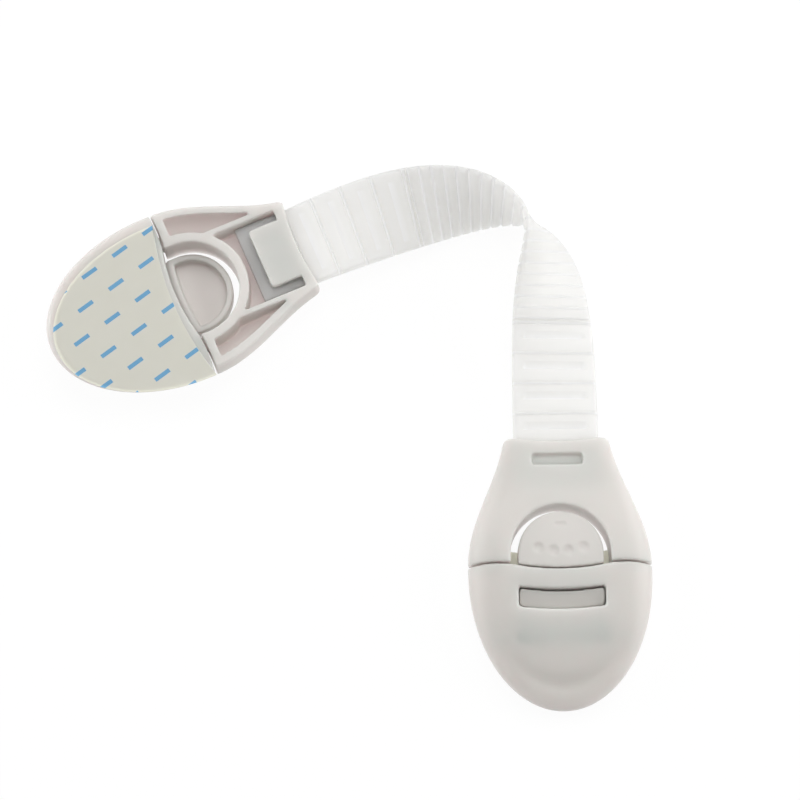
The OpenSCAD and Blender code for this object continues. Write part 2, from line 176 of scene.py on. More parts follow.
def per_metre(size_mm: float) -> float:
    """Gives the texture scale at which one feature is size_mm wide on Object coordinates."""
    return 1 / (size_mm * MM)


class Solid:
    """A closed mesh in millimetres that other solids can cut or join."""

    def __init__(self, bm: BMesh) -> None:
        """Takes over a bmesh and gives it a scratch object."""
        bmesh.ops.remove_doubles(bm, verts=bm.verts, dist=WELD_MM)
        bmesh.ops.recalc_face_normals(bm, faces=bm.faces)
        mesh = bpy.data.meshes.new("scratch")
        bm.to_mesh(mesh)
        bm.free()
        self.obj = show("scratch", mesh)

    def shaped(self, cut: Cut, *others: "Solid") -> "Solid":
        """Cuts or joins other solids into this one, and uses them up.

        Args:
            cut: Way in which the others act.
            others: Solids that act.

        Returns:
            This solid.
        """
        for other in others:
            modifier = self.obj.modifiers.new(cut.name, "BOOLEAN")
            modifier.operation = cut.value
            modifier.solver = "EXACT"
            modifier.object = other.obj
            self._settle()
            other.drop()
        return self

    def softened(self, voxel: float, rounds: int) -> "Solid":
        """Rounds every edge the way a mould does.

        Args:
            voxel: Spacing of the new mesh.
            rounds: Number of smoothing passes.

        Returns:
            This solid.
        """
        remesh = self.obj.modifiers.new("remesh", "REMESH")
        remesh.mode = "VOXEL"
        remesh.voxel_size = voxel
        smooth = self.obj.modifiers.new("smooth", "SMOOTH")
        smooth.factor = 0.5
        smooth.iterations = rounds
        self._settle()
        return self

    def _settle(self) -> None:
        """Applies the modifiers to the scratch mesh."""
        graph = bpy.context.evaluated_depsgraph_get()
        shaped = bpy.data.meshes.new_from_object(self.obj.evaluated_get(graph))
        old = self.obj.data
        self.obj.modifiers.clear()
        self.obj.data = shaped
        bpy.data.meshes.remove(old)

    def placed(self, name: str, place: Matrix) -> Object:
        """Makes a finished piece from a copy of this solid.

        Args:
            name: Name of the piece.
            place: Place of the solid in the row frame.

        Returns:
            The piece, which sits at the origin with its place in its mesh.
        """
        mesh = self.obj.data.copy()
        mesh.name = name
        mesh.transform(place)
        mesh.shade_smooth()
        mesh.set_sharp_from_angle(angle=SHARP_RAD)
        return show(name, mesh)

    def drop(self) -> None:
        """Removes the scratch object."""
        mesh = self.obj.data
        bpy.data.objects.remove(self.obj)
        bpy.data.meshes.remove(mesh)


def box(low: tuple[float, float, float], high: tuple[float, float, float], round_r: float = 0.0) -> Solid:
    """Makes a box whose upright edges may be rounded.

    Args:
        low: Lowest corner.
        high: Highest corner.
        round_r: Radius of the upright edges.

    Returns:
        The box.
    """
    bm = bmesh.new()
    bmesh.ops.create_cube(bm, size=1)
    size = Vector(high) - Vector(low)
    bmesh.ops.scale(bm, verts=bm.verts, vec=size)
    bmesh.ops.translate(bm, verts=bm.verts, vec=(Vector(high) + Vector(low)) / 2)
    if round_r:
        round_upright(bm, round_r)
    return Solid(bm)


def rise(edge: BMEdge) -> float:
    """Gives how far an edge climbs."""
    return abs(edge.verts[0].co.z - edge.verts[1].co.z)


def bevel(bm: BMesh, edges: list[BMEdge], radius: float, segments: int) -> None:
    """Rounds edges of a mesh."""
    bmesh.ops.bevel(
        bm, geom=edges, offset=radius, segments=segments, profile=0.5, affect="EDGES", material=-1,
    )


def round_upright(bm: BMesh, radius: float) -> None:
    """Rounds the upright edges at the corners of a prism."""
    upright = [e for e in bm.edges if rise(e) > radius and e.calc_face_angle(0) > CORNER_RAD]
    bevel(bm, upright, radius, segments=6)


def drum(radius: float, depth: float, place: Matrix, segments: int = 160) -> Solid:
    """Makes a cylinder.

    Args:
        radius: Radius of the cylinder.
        depth: Length along its axis.
        place: Place of its middle, with its axis along its own third direction.
        segments: Number of sides.

    Returns:
        The cylinder.
    """
    bm = bmesh.new()
    bmesh.ops.create_cone(
        bm, cap_ends=True, segments=segments, radius1=radius, radius2=radius, depth=depth, matrix=place,
    )
    return Solid(bm)


def ball(radius: float, middle: tuple[float, float, float], segments: int = 96) -> Solid:
    """Makes a sphere about a middle."""
    bm = bmesh.new()
    bmesh.ops.create_uvsphere(
        bm, u_segments=segments, v_segments=segments // 2, radius=radius, matrix=Matrix.Translation(middle),
    )
    return Solid(bm)


def corners(bm: BMesh) -> list[BMLoop]:
    """Gives the corners of all faces."""
    return [loop for face in bm.faces for loop in face.loops]


def border(bm: BMesh) -> list[BMEdge]:
    """Gives the open edges of a surface."""
    return [e for e in bm.edges if e.is_boundary]


def grid(across: int, along: int, shape: Callable[[float, float], Vector]) -> BMesh:
    """Lays a grid on a surface.

    Args:
        across: Number of cells in the first direction.
        along: Number of cells in the second direction.
        shape: Gives a point of the surface from two shares between 0 and 1.

    Returns:
        The bmesh of the surface, whose UV map holds the two shares.
    """
    bm = bmesh.new()
    bmesh.ops.create_grid(bm, x_segments=across, y_segments=along, size=0.5)
    shares = bm.loops.layers.uv.new("shares")
    for loop in corners(bm):
        loop[shares].uv = (loop.vert.co.x + 0.5, loop.vert.co.y + 0.5)
    for vert in bm.verts:
        vert.co = shape(vert.co.x + 0.5, vert.co.y + 0.5)
    bmesh.ops.remove_doubles(bm, verts=bm.verts, dist=FOLD_MM)
    return bm


def skirted(bm: BMesh, foot: Callable[[Vector], Vector]) -> Solid:
    """Closes a surface downwards with a wall and a flat floor.

    Args:
        bm: Surface with one open border.
        foot: Gives the floor point under a point of the border.

    Returns:
        The closed solid.
    """
    grown = bmesh.ops.extrude_edge_only(bm, edges=border(bm))["geom"]
    for vert in (g for g in grown if isinstance(g, BMVert)):
        vert.co = foot(vert.co)
    bmesh.ops.edgeloop_fill(bm, edges=border(bm))
    return Solid(bm)


def thicken(bm: BMesh, way: tuple[float, float, float]) -> None:
    """Turns a plate of faces into a closed solid.

    Args:
        bm: Plate, which is changed.
        way: Direction and thickness.
    """
    grown = bmesh.ops.extrude_face_region(bm, geom=list(bm.faces))["geom"]
    bmesh.ops.translate(bm, verts=[g for g in grown if isinstance(g, BMVert)], vec=way)


def prism(
    low: float, high: float, steps: int, near: Callable[[float], float], far: Callable[[float], float],
    half: float, round_r: float = 0.0,
) -> Solid:
    """Makes an upright prism between two lines across the head.

    Args:
        low: Height of its floor.
        high: Height of its top.
        steps: Number of cells across the head.
        near: Gives the u of the first line at a place v.
        far: Gives the u of the second line at a place v.
        half: Half its width across the head.
        round_r: Radius of its upright corners.

    Returns:
        The prism.
    """
    def place(s: float, t: float) -> Vector:
        """Gives a point of the prism's top."""
        v = half * (2 * t - 1)
        return Vector((near(v) + s * (far(v) - near(v)), v, high))

    bm = grid(1, steps, place)
    thicken(bm, (0, 0, low - high))
    if round_r:
        round_upright(bm, round_r)
    return Solid(bm)


@dataclass(frozen=True)
class Finish:
    """A material: its colours, its surface and the size of its grain."""

    name: str
    colour: str
    shade: str
    roughness: float
    ior: float
    grain_mm: float
    grain_depth_mm: float
    blotch_mm: float
    subsurface: float = 0.0
    scatter_mm: tuple[float, float, float] = (1.0, 0.7, 0.6)
    transmission: float = 0.0
    roughness_spread: float = 0.05
    bump: float = 0.35

    def build(self) -> Material:
        """Builds the node material.

        Returns:
            The material.
        """
        material = bpy.data.materials.new(self.name)
        tree = empty_tree(material)
        where = add_node(tree, "ShaderNodeTexCoord").outputs["Object"]
        colour = self.paint(tree, where)
        grain = self.grain(tree, where)
        dull = add_node(
            tree, "ShaderNodeMapRange", {"Value": grain},
            {
                "To Min": self.roughness - self.roughness_spread,
                "To Max": self.roughness + self.roughness_spread,
            },
        )
        bump = add_node(
            tree, "ShaderNodeBump", {"Height": grain},
            {"Strength": self.bump, "Distance": self.grain_depth_mm * MM},
        )
        shader = add_node(
            tree, "ShaderNodeBsdfPrincipled",
            {"Base Color": colour, "Roughness": dull.outputs[0], "Normal": bump.outputs[0]},
            {
                "IOR": self.ior,
                "Subsurface Weight": self.subsurface,
                "Subsurface Radius": self.scatter_mm,
                "Subsurface Scale": MM,
                "Transmission Weight": self.transmission,
            },
        )
        add_node(tree, "ShaderNodeOutputMaterial", {"Surface": shader.outputs[0]})
        return material

    def grain(self, tree: NodeTree, where: NodeSocket) -> NodeSocket:
        """Adds the fine grain of the surface and gives its height."""
        return add_node(
            tree, "ShaderNodeTexNoise", {"Vector": where},
            {"Scale": per_metre(self.grain_mm), "Detail": 3.0, "Roughness": 0.6},
        ).outputs[0]

    def paint(self, tree: NodeTree, where: NodeSocket) -> NodeSocket:
        """Adds soft blotches between the two colours and gives the colour."""
        blotch = add_node(
            tree, "ShaderNodeTexNoise", {"Vector": where},
            {"Scale": per_metre(self.blotch_mm), "Detail": 2.0},
        )
        return add_node(
            tree, "ShaderNodeMix", {"Factor": blotch.outputs[0]},
            {"A": linear(self.colour), "B": linear(self.shade)}, data_type="RGBA",
        ).outputs["Result"]


@dataclass(frozen=True)
class CellFinish(Finish):
    """A foam: its surface is a pack of small round cells."""

    def grain(self, tree: NodeTree, where: NodeSocket) -> NodeSocket:
        """Adds the cells of the foam and gives their height."""
        return add_node(
            tree, "ShaderNodeTexVoronoi", {"Vector": where}, {"Scale": per_metre(self.grain_mm)},
        ).outputs["Distance"]


@dataclass(frozen=True)
class MilkyPaintedGlowFinish(Finish):
    """A cloudy plastic whose colour is painted paler where it is thinner, as a painted glow of light shining
    through.
    """

    # Colour of the painted glow: light shining through thinner places, painted into the colour.
    thin: str = "FFFEFC"
    glow_gain: float = 2.0

    def paint(self, tree: NodeTree, where: NodeSocket) -> NodeSocket:
        """Mixes in the painted glow colour by the thinness that the UV map holds, and gives the colour."""
        body = super().paint(tree, where)
        shares = add_node(tree, "ShaderNodeUVMap").outputs[0]
        thinness = add_node(tree, "ShaderNodeSeparateXYZ", {0: shares}).outputs["X"]
        # Painted glow: the colour is paler where the strap is thinner, standing in for light shining through.
        return tinted(tree, body, self.thin, maths(tree, "MULTIPLY", thinness, self.glow_gain, clamp=True))


@dataclass(frozen=True)
class PrintFinish(Finish):
    """A paper with rows of plain printed dashes."""

    ink: str = "6AA6D0"
    dash_mm: tuple[float, float] = (4.4, 1.1)
    pitch_mm: tuple[float, float] = (9.5, 6.6)
    angle_deg: float = -38.0
    row_shift: float = 0.37

    def paint(self, tree: NodeTree, where: NodeSocket) -> NodeSocket:
        """Adds the dashes to the paper and gives the colour."""
        paper = super().paint(tree, where)
        turned = add_node(
            tree, "ShaderNodeVectorRotate", {"Vector": where}, {"Angle": radians(self.angle_deg)},
            rotation_type="Z_AXIS",
        )
        cells = add_node(
            tree, "ShaderNodeMapping", {"Vector": turned.outputs[0]},
            {"Scale": (per_metre(self.pitch_mm[0]), per_metre(self.pitch_mm[1]), 1)},
        )
        split = add_node(tree, "ShaderNodeSeparateXYZ", {0: cells.outputs[0]})
        row = maths(tree, "FLOOR", split.outputs["Y"])
        shifted = maths(tree, "MULTIPLY_ADD", row, self.row_shift, split.outputs["X"])
        inside = [
            maths(tree, "LESS_THAN", maths(tree, "FRACT", socket), dash / pitch)
            for socket, dash, pitch in zip((shifted, split.outputs["Y"]), self.dash_mm, self.pitch_mm)
        ]
        return tinted(tree, paper, self.ink, maths(tree, "MULTIPLY", *inside))


# ABS, injection moulded in a finely etched mould: soft warm grey with a dull, even sheen.
SHELL = Finish(
    "moulded_abs", "D9D5D0", "D5D1CC", roughness=0.46, ior=1.53, grain_mm=0.5, grain_depth_mm=0.02,
    blotch_mm=14, subsurface=0.9, scatter_mm=(7.5, 6.2, 6.6),
)
# The latch comes from the same kind of mould, and thumbs have polished it a little.
LATCH = Finish(
    "moulded_abs_latch", "D4D1CD", "CFCDC8", roughness=0.40, ior=1.53, grain_mm=0.5, grain_depth_mm=0.018,
    blotch_mm=11, subsurface=0.6, scatter_mm=(3.5, 2.9, 3.1),
)
# Closed-cell polyethylene foam: white, with cells that catch small shadows.
FOAM = CellFinish(
    "polyethylene_foam", "F0F0EC", "E6E6E0", roughness=0.75, ior=1.5, grain_mm=0.45, grain_depth_mm=0.08,
    blotch_mm=6, subsurface=0.2, scatter_mm=(1.0, 0.9, 0.8),
)
# Siliconised kraft paper: cream, smooth and dull, with a faint fibre cloud and plain blue dashes.
LINER = PrintFinish(
    "siliconised_paper", "E4E2D2", "E0DECD", roughness=0.55, ior=1.45, grain_mm=0.7, grain_depth_mm=0.012,
    blotch_mm=5, subsurface=0.6, scatter_mm=(1.0, 1.0, 0.9),
)
# Milky thermoplastic polyurethane, moulded: light goes in and comes out white. Its colour is also painted
# paler where it is thinner, as a painted glow of light shining through.
STRAP = MilkyPaintedGlowFinish(
    "milky_polyurethane", "F3F1EB", "F0EEE7", roughness=0.42, ior=1.4, grain_mm=0.6, grain_depth_mm=0.01,
    blotch_mm=9, subsurface=1.0, scatter_mm=(14.0, 13.7, 13.2), transmission=0.15,
)


@dataclass
class Head:
    """One stick-on head: base, housing, latch, foam tape and liner."""

    # Outer form, shared by the base and the housing.
    head_h: float = 10.3
    rim_h: float = 3.0
    foot_in: float = 1.0
    seam_hw: float = 22.9
    seam_gap: float = 0.5
    seam_sag: float = 1.5
    seam_bow: float = 0.3
    seam_power: float = 3.2
    shoulder_power: float = 2.2
    # Base, with its soft hollow near the tip, its cavity and its window.
    egg_l: float = 34.3
    egg_run: float = 1.8
    egg_straight: float = 0.08
    tip_fall: float = 3.4
    dent_d: float = 1.15
    dent_at: float = 0.83
    dent_run: float = 0.06
    back_t: float = 1.5
    roof_w: float = 7.3
    cavity_l: float = 19.5
    window_l: float = 5.0
    window_u: float = 5.9
    window_hw: float = 10.75
    window_sag: float = 0.8
    window_r: float = 1.0
    # Housing, with its finger hole, its ribs and its legs.
    housing_l: float = 32.9
    end_hw: float = 12.9
    end_h: float = 6.6
    end_r: float = 1.5
    end_sag: float = 1.2
    end_power: float = 7.0
    bell_run: float = 37.3
    fall_power: float = 1.4
    side_t: float = 2.1
    front_t: float = 2.0
    band_t: float = 3.2
    seam_t: float = 2.7
    hole_r: float = 12.4
    hole_u: float = 2.4
    ring_t: float = 2.5
    rib_t: float = 1.4
    leg_v: float = 12.9
    leg_b: float = 3.3
    leg_t: float = 2.6
    bar_l: float = 3.2
    slide_gap: float = 0.3
    # Room of the strap's end, with the plate, the slot and the pawl.
    pocket_hw: float = 10.95
    strap_w: float = 3.1
    strap_t: float = 2.0
    strap_gap: float = 0.2
    plate_b: float = 16.2
    plate_l: float = 11.3
    plate_t: float = 1.8
    plate_r: float = 0.7
    plate_root: float = 0.2
    slot_hw: float = 6.4
    slot_l: float = 2.9
    slot_u: float = 4.6
    slot_r: float = 0.8
    pawl_t: float = 1.9
    pawl_u: float = 27.75
    pawl_w: float = 3.5
    arm_gap: float = 0.4
    arm_drop: float = 0.9
    recess_l: float = 2.0
    # Latch: button, tongue and catch. Dimples are placed in shares of the button's radius.
    button_r: float = 10.6
    button_t: float = 1.6
    button_w: float = 4.6
    button_drop: float = 0.6
    dome_r: float = 80.0
    dimples: tuple[tuple[float, float], ...] = ((0.14, 0.55), (0.06, 0.18), (0.06, -0.18), (0.14, -0.55))
    dimple_r: float = 1.5
    dimple_d: float = 0.35
    dash_share: float = 0.7
    dash_r: float = 0.7
    dash_hw: float = 1.5
    dash_up: float = 0.45
    tongue_hw: float = 10.3
    tongue_t: float = 1.5
    root_r: float = 1.1
    root_w: float = 4.9
    root_gap: float = 0.12
    catch_d: float = 1.7
    catch_r: float = 0.9
    catch_dip: float = 0.3
    catch_gap: float = 0.4
    catch_side: float = 0.25
    # Tape: foam and liner.
    foam_t: float = 1.0
    foam_inset: float = 1.8
    foam_r: float = 0.12
    liner_t: float = 0.2
    liner_inset: float = 1.3
    liner_r: float = 0.04
    liner_tab: float = 7.0
    tape_sag: float = 2.9
    tape_edge: float = 0.3
    tape_slip: float = 2.7
    # How far a tool reaches past a form, and how the forms are remeshed and smoothed.
    over: float = 1.5
    voxel: float = 0.3
    shell_rounds: int = 6
    latch_rounds: int = 5

    @property
    def tip_u(self) -> float:
        """Place of the tip."""
        return -self.egg_run - self.egg_l

    @property
    def tape_t(self) -> float:
        """Thickness of foam and liner."""
        return self.foam_t + self.liner_t

    @property
    def origin_u(self) -> float:
        """Place of the row frame's origin along the right head."""
        return (self.tip_u + self.liner_inset - self.tape_edge) / 2

    @property
    def hinge_u(self) -> float:
        """Place of the latch's root."""
        return -self.cavity_l + self.slide_gap + self.bar_l / 2

    def dome(self, share: float, power: float) -> float:
        """Gives the height share of the front at a share of the way from its middle to its rim."""
        return max(0.0, 1 - abs(share) ** power) ** (1 / self.shoulder_power)

    def wave(self, v: float) -> float:
        """Gives the seam's place along the head at a place v across it."""
        if abs(v) < self.hole_r:
            return -self.seam_sag * (1 - (v / self.hole_r) ** 2)
        if abs(v) < self.seam_hw:
            return self.seam_bow * sin(pi * (abs(v) - self.hole_r) / (self.seam_hw - self.hole_r))
        return 0.0

    def egg(self, t: float, inset: float, start_u: float) -> Vector:
        """Gives a point of the base's outline.

        Args:
            t: Share of the way round, from one side of the seam over the tip to the other.
            inset: How far the outline is drawn in.
            start_u: Where its straight sides start.

        Returns:
            The point in the back plane.
        """
        straight = self.egg_straight
        half = self.seam_hw - inset
        if t < straight:
            return Vector((start_u + (-self.egg_run - start_u) * t / straight, -half, 0))
        if t > 1 - straight:
            return Vector((start_u + (-self.egg_run - start_u) * (1 - t) / straight, half, 0))
        angle = pi * ((t - straight) / (1 - 2 * straight) - 0.5)
        return Vector((-self.egg_run - (self.egg_l - inset) * cos(angle), half * sin(angle), 0))

    def base_front(self, s: float, t: float) -> Vector:
        """Gives a point of the base's front from its share outwards and its share round."""
        ring = sin(s * pi / 2)
        edge = self.egg(t, 0, self.over)
        u = self.over + ring * (edge.x - self.over)
        tip_share = max(0.0, u / self.tip_u)
        crown = self.head_h - self.tip_fall * tip_share ** 2
        hollow = exp(-((ring - self.dent_at) / self.dent_run) ** 2)
        height = self.rim_h + (crown - self.rim_h) * self.dome(ring, self.seam_power)
        return Vector((u, ring * edge.y, height - self.dent_d * tip_share ** 3 * hollow))

    def base_foot(self, point: Vector) -> Vector:
        """Gives the back-plane point under a point of the base's border, drawn in along the outline."""
        share = (self.seam_hw - self.foot_in) / self.seam_hw
        u = -self.egg_run + (point.x + self.egg_run) * (1 - self.foot_in / self.egg_l)
        return Vector((u if point.x < -self.egg_run else point.x, point.y * share, 0))

    def base(self) -> Solid:
        """Builds the hollow base that is stuck to the door."""
        leg_hw = self.leg_v + self.leg_b + self.slide_gap
        leg_top = self.back_t + self.slide_gap + self.leg_t
        room = self.window_hw + self.slide_gap
        far = self.seam_hw + self.over
        form = skirted(grid(44, 150, self.base_front), self.base_foot)
        form.shaped(
            Cut.TAKE,
            prism(-self.over, self.head_h + self.over, 80, lambda v: self.wave(v) - self.seam_gap / 2,
                  lambda v: self.housing_l, far),
            box((-self.cavity_l, -leg_hw, self.back_t), (self.over, leg_hw, leg_top + self.slide_gap)),
            box((-self.cavity_l, -room, self.back_t), (self.over, room, self.roof_w)),
            self.window(0.0, 0.0, self.roof_w - self.over, self.head_h + self.over, self.window_r),
        )
        return form.softened(self.voxel, self.shell_rounds)

    def window(self, inset: float, side: float, low: float, high: float, round_r: float) -> Solid:
        """Builds the bowed window of the catch.

        Args:
            inset: How far its long edges are drawn in.
            side: How far its ends are drawn in.
            low: Height of its floor.
            high: Height of its top.
            round_r: Radius of its corners.

        Returns:
            The prism that fills the window.
        """
        half = self.window_hw - side
        near_u = -self.window_u - inset
        far_u = -self.window_u - self.window_l + inset

        def bow(v: float) -> float:
            """Gives the bow towards the tip at a place v."""
            return self.window_sag * (1 - (v / self.window_hw) ** 2)

        return prism(low, high, 40, lambda v: far_u - bow(v), lambda v: near_u - bow(v), half, round_r)

    def bell(self, u: float) -> float:
        """Gives half the housing's width at u, with its round corners at the strap end."""
        swell = 1 + cos(pi * max(0.0, u) / self.bell_run)
        wide = self.end_hw + (self.seam_hw - self.end_hw) * swell / 2
        into = u - self.housing_l + self.end_r
        return wide - (self.end_r - sqrt(max(0.0, self.end_r ** 2 - into ** 2)) if into > 0 else 0.0)

    def front(self, u: float) -> float:
        """Gives the height of the housing's front along its middle."""
        part = max(0.0, u) / self.housing_l
        return self.head_h - (self.head_h - self.end_h) * part ** self.fall_power

    def bell_front(self, u: float, share: float, side: float, skin: float) -> Vector:
        """Gives a point of the housing's front.

        Args:
            u: Place along the head.
            share: Share of the way across, from -1 to 1.
            side: How far the sides are drawn in.
            skin: How far the front is drawn in.

        Returns:
            The point.
        """
        part = max(0.0, u) / self.housing_l
        power = self.seam_power + (self.end_power - self.seam_power) * part
        height = self.rim_h + (self.front(u) - skin - self.rim_h) * self.dome(share, power)
        return Vector((u, share * (self.bell(u) - side), height))

    def bell_form(self, start: float, end: float, side: float, skin: float, floor: float) -> Solid:
        """Builds the housing's outer form, or the room inside its walls.

        Args:
            start: Where it starts along the head.
            end: Where it ends.
            side: How far the sides are drawn in.
            skin: How far the front is drawn in.
            floor: Height of its floor.

        Returns:
            The solid.
        """
        def place(s: float, t: float) -> Vector:
            """Gives a point of the front, with close rows at the strap end."""
            u = start + (end - start) * sin(s * pi / 2)
            return self.bell_front(u, -cos(t * pi), side, skin)

        def foot(point: Vector) -> Vector:
            """Gives the floor point under a point of the border, drawn in at the sides."""
            half = self.bell(point.x) - side
            drawn = self.foot_in * (self.rim_h - floor) / self.rim_h
            return Vector((point.x, point.y * (half - drawn) / half, floor))

        return skirted(grid(70, 72, place), foot)

    def finger_round(self, radius: float) -> Solid:
        """Builds the round of the finger hole, carried on to the seam."""
        middle = self.head_h / 2
        depth = self.head_h + 2 * self.over
        form = drum(radius, depth, Matrix.Translation((self.hole_u, 0, middle)))
        front = box((-self.over - self.seam_sag, -radius, -self.over),
                    (self.hole_u, radius, self.head_h + self.over))
        return form.shaped(Cut.ADD, front)

    def lying_drum(self, radius: float, half: float, u: float, w: float) -> Solid:
        """Builds a cylinder that lies across the head."""
        place = Matrix.Translation((u, 0, w)) @ Matrix.Rotation(pi / 2, 4, "X")
        return drum(radius, 2 * half, place, 48)

    def wedge(self, points: Iterable[tuple[float, float]], half: float) -> Solid:
        """Builds a solid across the head from its outline seen from the side.

        Args:
            points: Corners of the outline as places along and out of the head.
            half: Half its width across the head.

        Returns:
            The solid.
        """
        bm = bmesh.new()
        bm.faces.new([bm.verts.new((u, -half, w)) for u, w in points])
        thicken(bm, (0, 2 * half, 0))
        return Solid(bm)

    def housing(self) -> Solid:
        """Builds the bell-shaped half that holds the strap."""
        band_u = self.housing_l - self.band_t
        top = self.strap_w + self.strap_t / 2 + self.strap_gap
        foot = self.strap_w - self.strap_t / 2 - self.strap_gap
        slot_end = self.housing_l - self.slot_u
        sag_r = self.end_hw ** 2 / (2 * self.end_sag)
        sag_u = self.housing_l - self.end_sag + sag_r
        far = self.seam_hw + self.over
        outer_v = self.leg_v + self.leg_b
        far_u = -self.cavity_l + self.slide_gap
        leg_w = self.back_t + self.slide_gap
        leg_top = leg_w + self.leg_t
        depth = self.head_h + 2 * self.over
        core = self.bell_form(self.seam_t, band_u, self.side_t, self.front_t, -self.over)
        core.shaped(Cut.TAKE, self.finger_round(self.hole_r + self.ring_t))
        for side in (-1, 1):
            edges = sorted((side * self.pocket_hw, side * (self.pocket_hw + self.rib_t)))
            core.shaped(Cut.TAKE, box((0, edges[0], -depth), (self.housing_l, edges[1], self.head_h)))
        form = self.bell_form(-self.over, self.housing_l, 0.0, 0.0, 0.0)
        form.shaped(
            Cut.TAKE,
            prism(-self.over, self.head_h + self.over, 80, lambda v: -2 * self.over,
                  lambda v: self.wave(v) + self.seam_gap / 2, far),
            drum(sag_r, depth, Matrix.Translation((sag_u, 0, depth / 2 - self.over)), segments=720),
            core,
            self.finger_round(self.hole_r),
            box(
                (band_u - self.over, -self.pocket_hw, foot),
                (self.housing_l + self.over, self.pocket_hw, top),
            ),
            box(
                (slot_end - self.slot_l, -self.slot_hw, top),
                (slot_end, self.slot_hw, self.head_h),
                self.slot_r,
            ),
        )
        hang_u = slot_end + self.pawl_t
        arm_u = slot_end - self.slot_l + self.arm_gap
        arm_w = self.front(hang_u) - self.arm_drop
        bar = box((far_u, -outer_v, leg_w), (far_u + self.bar_l, outer_v, leg_top))
        bar.shaped(
            Cut.TAKE,
            self.lying_drum(self.root_r + self.root_gap, outer_v + self.over, self.hinge_u, self.root_w),
        )
        form.shaped(
            Cut.ADD,
            box(
                (self.housing_l - self.plate_l, -self.plate_b / 2, 0),
                (band_u + self.plate_root, self.plate_b / 2, self.plate_t),
                self.plate_r,
            ),
            self.wedge(
                [
                    (arm_u, top), (self.pawl_u, top), (self.pawl_u, self.pawl_w),
                    (self.pawl_u + self.recess_l, top), (hang_u, top), (hang_u, arm_w), (arm_u, arm_w),
                ],
                self.slot_hw - self.arm_gap,
            ),
            box((far_u, self.leg_v, leg_w), (self.seam_t, outer_v, leg_top)),
            box((far_u, -outer_v, leg_w), (self.seam_t, -self.leg_v, leg_top)),
            bar,
        )
        return form.softened(self.voxel, self.shell_rounds)

    def button_form(self, inset: float, low: float) -> Solid:
        """Builds the half-round button, or the hollow inside it.

        Args:
            inset: How far it is drawn in.
            low: Height of its floor.

        Returns:
            The solid.
        """
        radius = self.button_r - inset
        form = drum(radius, self.head_h, Matrix.Translation((self.hole_u, 0, low + self.head_h / 2)))
        form.shaped(Cut.ADD, box((-self.seam_sag, -radius, low), (self.hole_u, radius, low + self.head_h)))
        seam = prism(low - self.over, 2 * self.head_h, 60,
                     lambda v: self.seam_gap / 2 + inset - self.seam_sag * (1 - (v / self.hole_r) ** 2),
                     lambda v: self.housing_l, self.button_r + self.over)
        side = self.button_r + self.hole_u + self.over

        def dome(s: float, t: float) -> Vector:
            """Gives a point of the dome."""
            u, v = side * (2 * s - 1), side * (2 * t - 1)
            return Vector((u, v, self.button_front(u, v, inset)))

        cap = skirted(grid(30, 30, dome), lambda point: Vector((point.x, point.y, low - self.over)))
        return form.shaped(Cut.KEEP, seam, cap)

    def button_front(self, u: float, v: float, inset: float = 0.0) -> float:
        """Gives the height of the button's dome, which may be drawn in."""
        top = self.head_h - self.button_drop
        return top - self.dome_r + sqrt((self.dome_r - inset) ** 2 - u * u - v * v)

    def latch(self) -> Solid:
        """Builds the push button, its spring tongue and its catch."""
        top = self.root_w + self.tongue_t
        low_u = -self.window_u - self.window_l + self.catch_gap
        end_u = low_u - self.window_sag
        high_u = -self.window_u - self.catch_gap
        ball_r = (self.dimple_r ** 2 + self.dimple_d ** 2) / (2 * self.dimple_d)
        form = self.button_form(0.0, self.button_w)
        form.shaped(Cut.TAKE, self.button_form(self.button_t, self.button_w - self.over))
        for along, across in self.dimples:
            u, v = self.hole_u + along * self.button_r, across * self.button_r
            form.shaped(
                Cut.TAKE, ball(ball_r, (u, v, self.button_front(u, v) + ball_r - self.dimple_d), segments=48),
            )
        dash_u = self.hole_u + self.dash_share * self.button_r
        dash_w = self.button_front(dash_u, 0) + self.dash_up
        form.shaped(Cut.TAKE, self.lying_drum(self.dash_r, self.dash_hw, dash_u, dash_w))
        catch = self.window(self.catch_gap, self.catch_side, self.root_w, self.head_h, self.catch_r)
        slope = self.wedge(
            [
                (end_u, self.root_w), (end_u, self.roof_w - self.catch_dip), (low_u, self.roof_w),
                (high_u, self.roof_w + self.catch_d), (high_u, self.root_w),
            ],
            self.window_hw,
        )
        form.shaped(
            Cut.ADD,
            box((self.hinge_u, -self.tongue_hw, self.root_w), (self.seam_gap / 2, self.tongue_hw, top)),
            self.lying_drum(self.root_r, self.tongue_hw, self.hinge_u, self.root_w),
            catch.shaped(Cut.KEEP, slope),
        )
        return form.softened(self.voxel, self.latch_rounds)

    def tape(
        self, inset: float, low: float, high: float, edge_u: float, slip: float, round_r: float,
    ) -> Solid:
        """Builds a piece of the tape: the egg drawn in, with a hollow edge along the seam.

        Args:
            inset: How far it is drawn in.
            low: Height of its outer face.
            high: Height of its inner face.
            edge_u: Where its hollow edge starts.
            slip: Sideways shift.
            round_r: Radius of its long edges.

        Returns:
            The solid.
        """
        half = self.seam_hw - inset

        def place(s: float, t: float) -> Vector:
            """Gives a point between the hollow edge and the egg."""
            outer = self.egg(t, inset, edge_u)
            v = half * (2 * t - 1)
            hollow = Vector((edge_u - self.tape_sag * (1 - (v / half) ** 2), v, 0))
            point = hollow.lerp(outer, s)
            return Vector((point.x, point.y + slip, high))

        bm = grid(16, 96, place)
        thicken(bm, (0, 0, low - high))
        level = [e for e in bm.edges if e.calc_face_angle(0) > RIM_RAD and rise(e) < FOLD_MM]
        bevel(bm, level, round_r, segments=2)
        return Solid(bm)


@dataclass(frozen=True)
class Station:
    """One place along the strap: its middle, its directions, and how deep both faces are cut there."""

    middle: Vector
    out: Vector
    up: Vector
    groove: float
    recess: float
    line: float


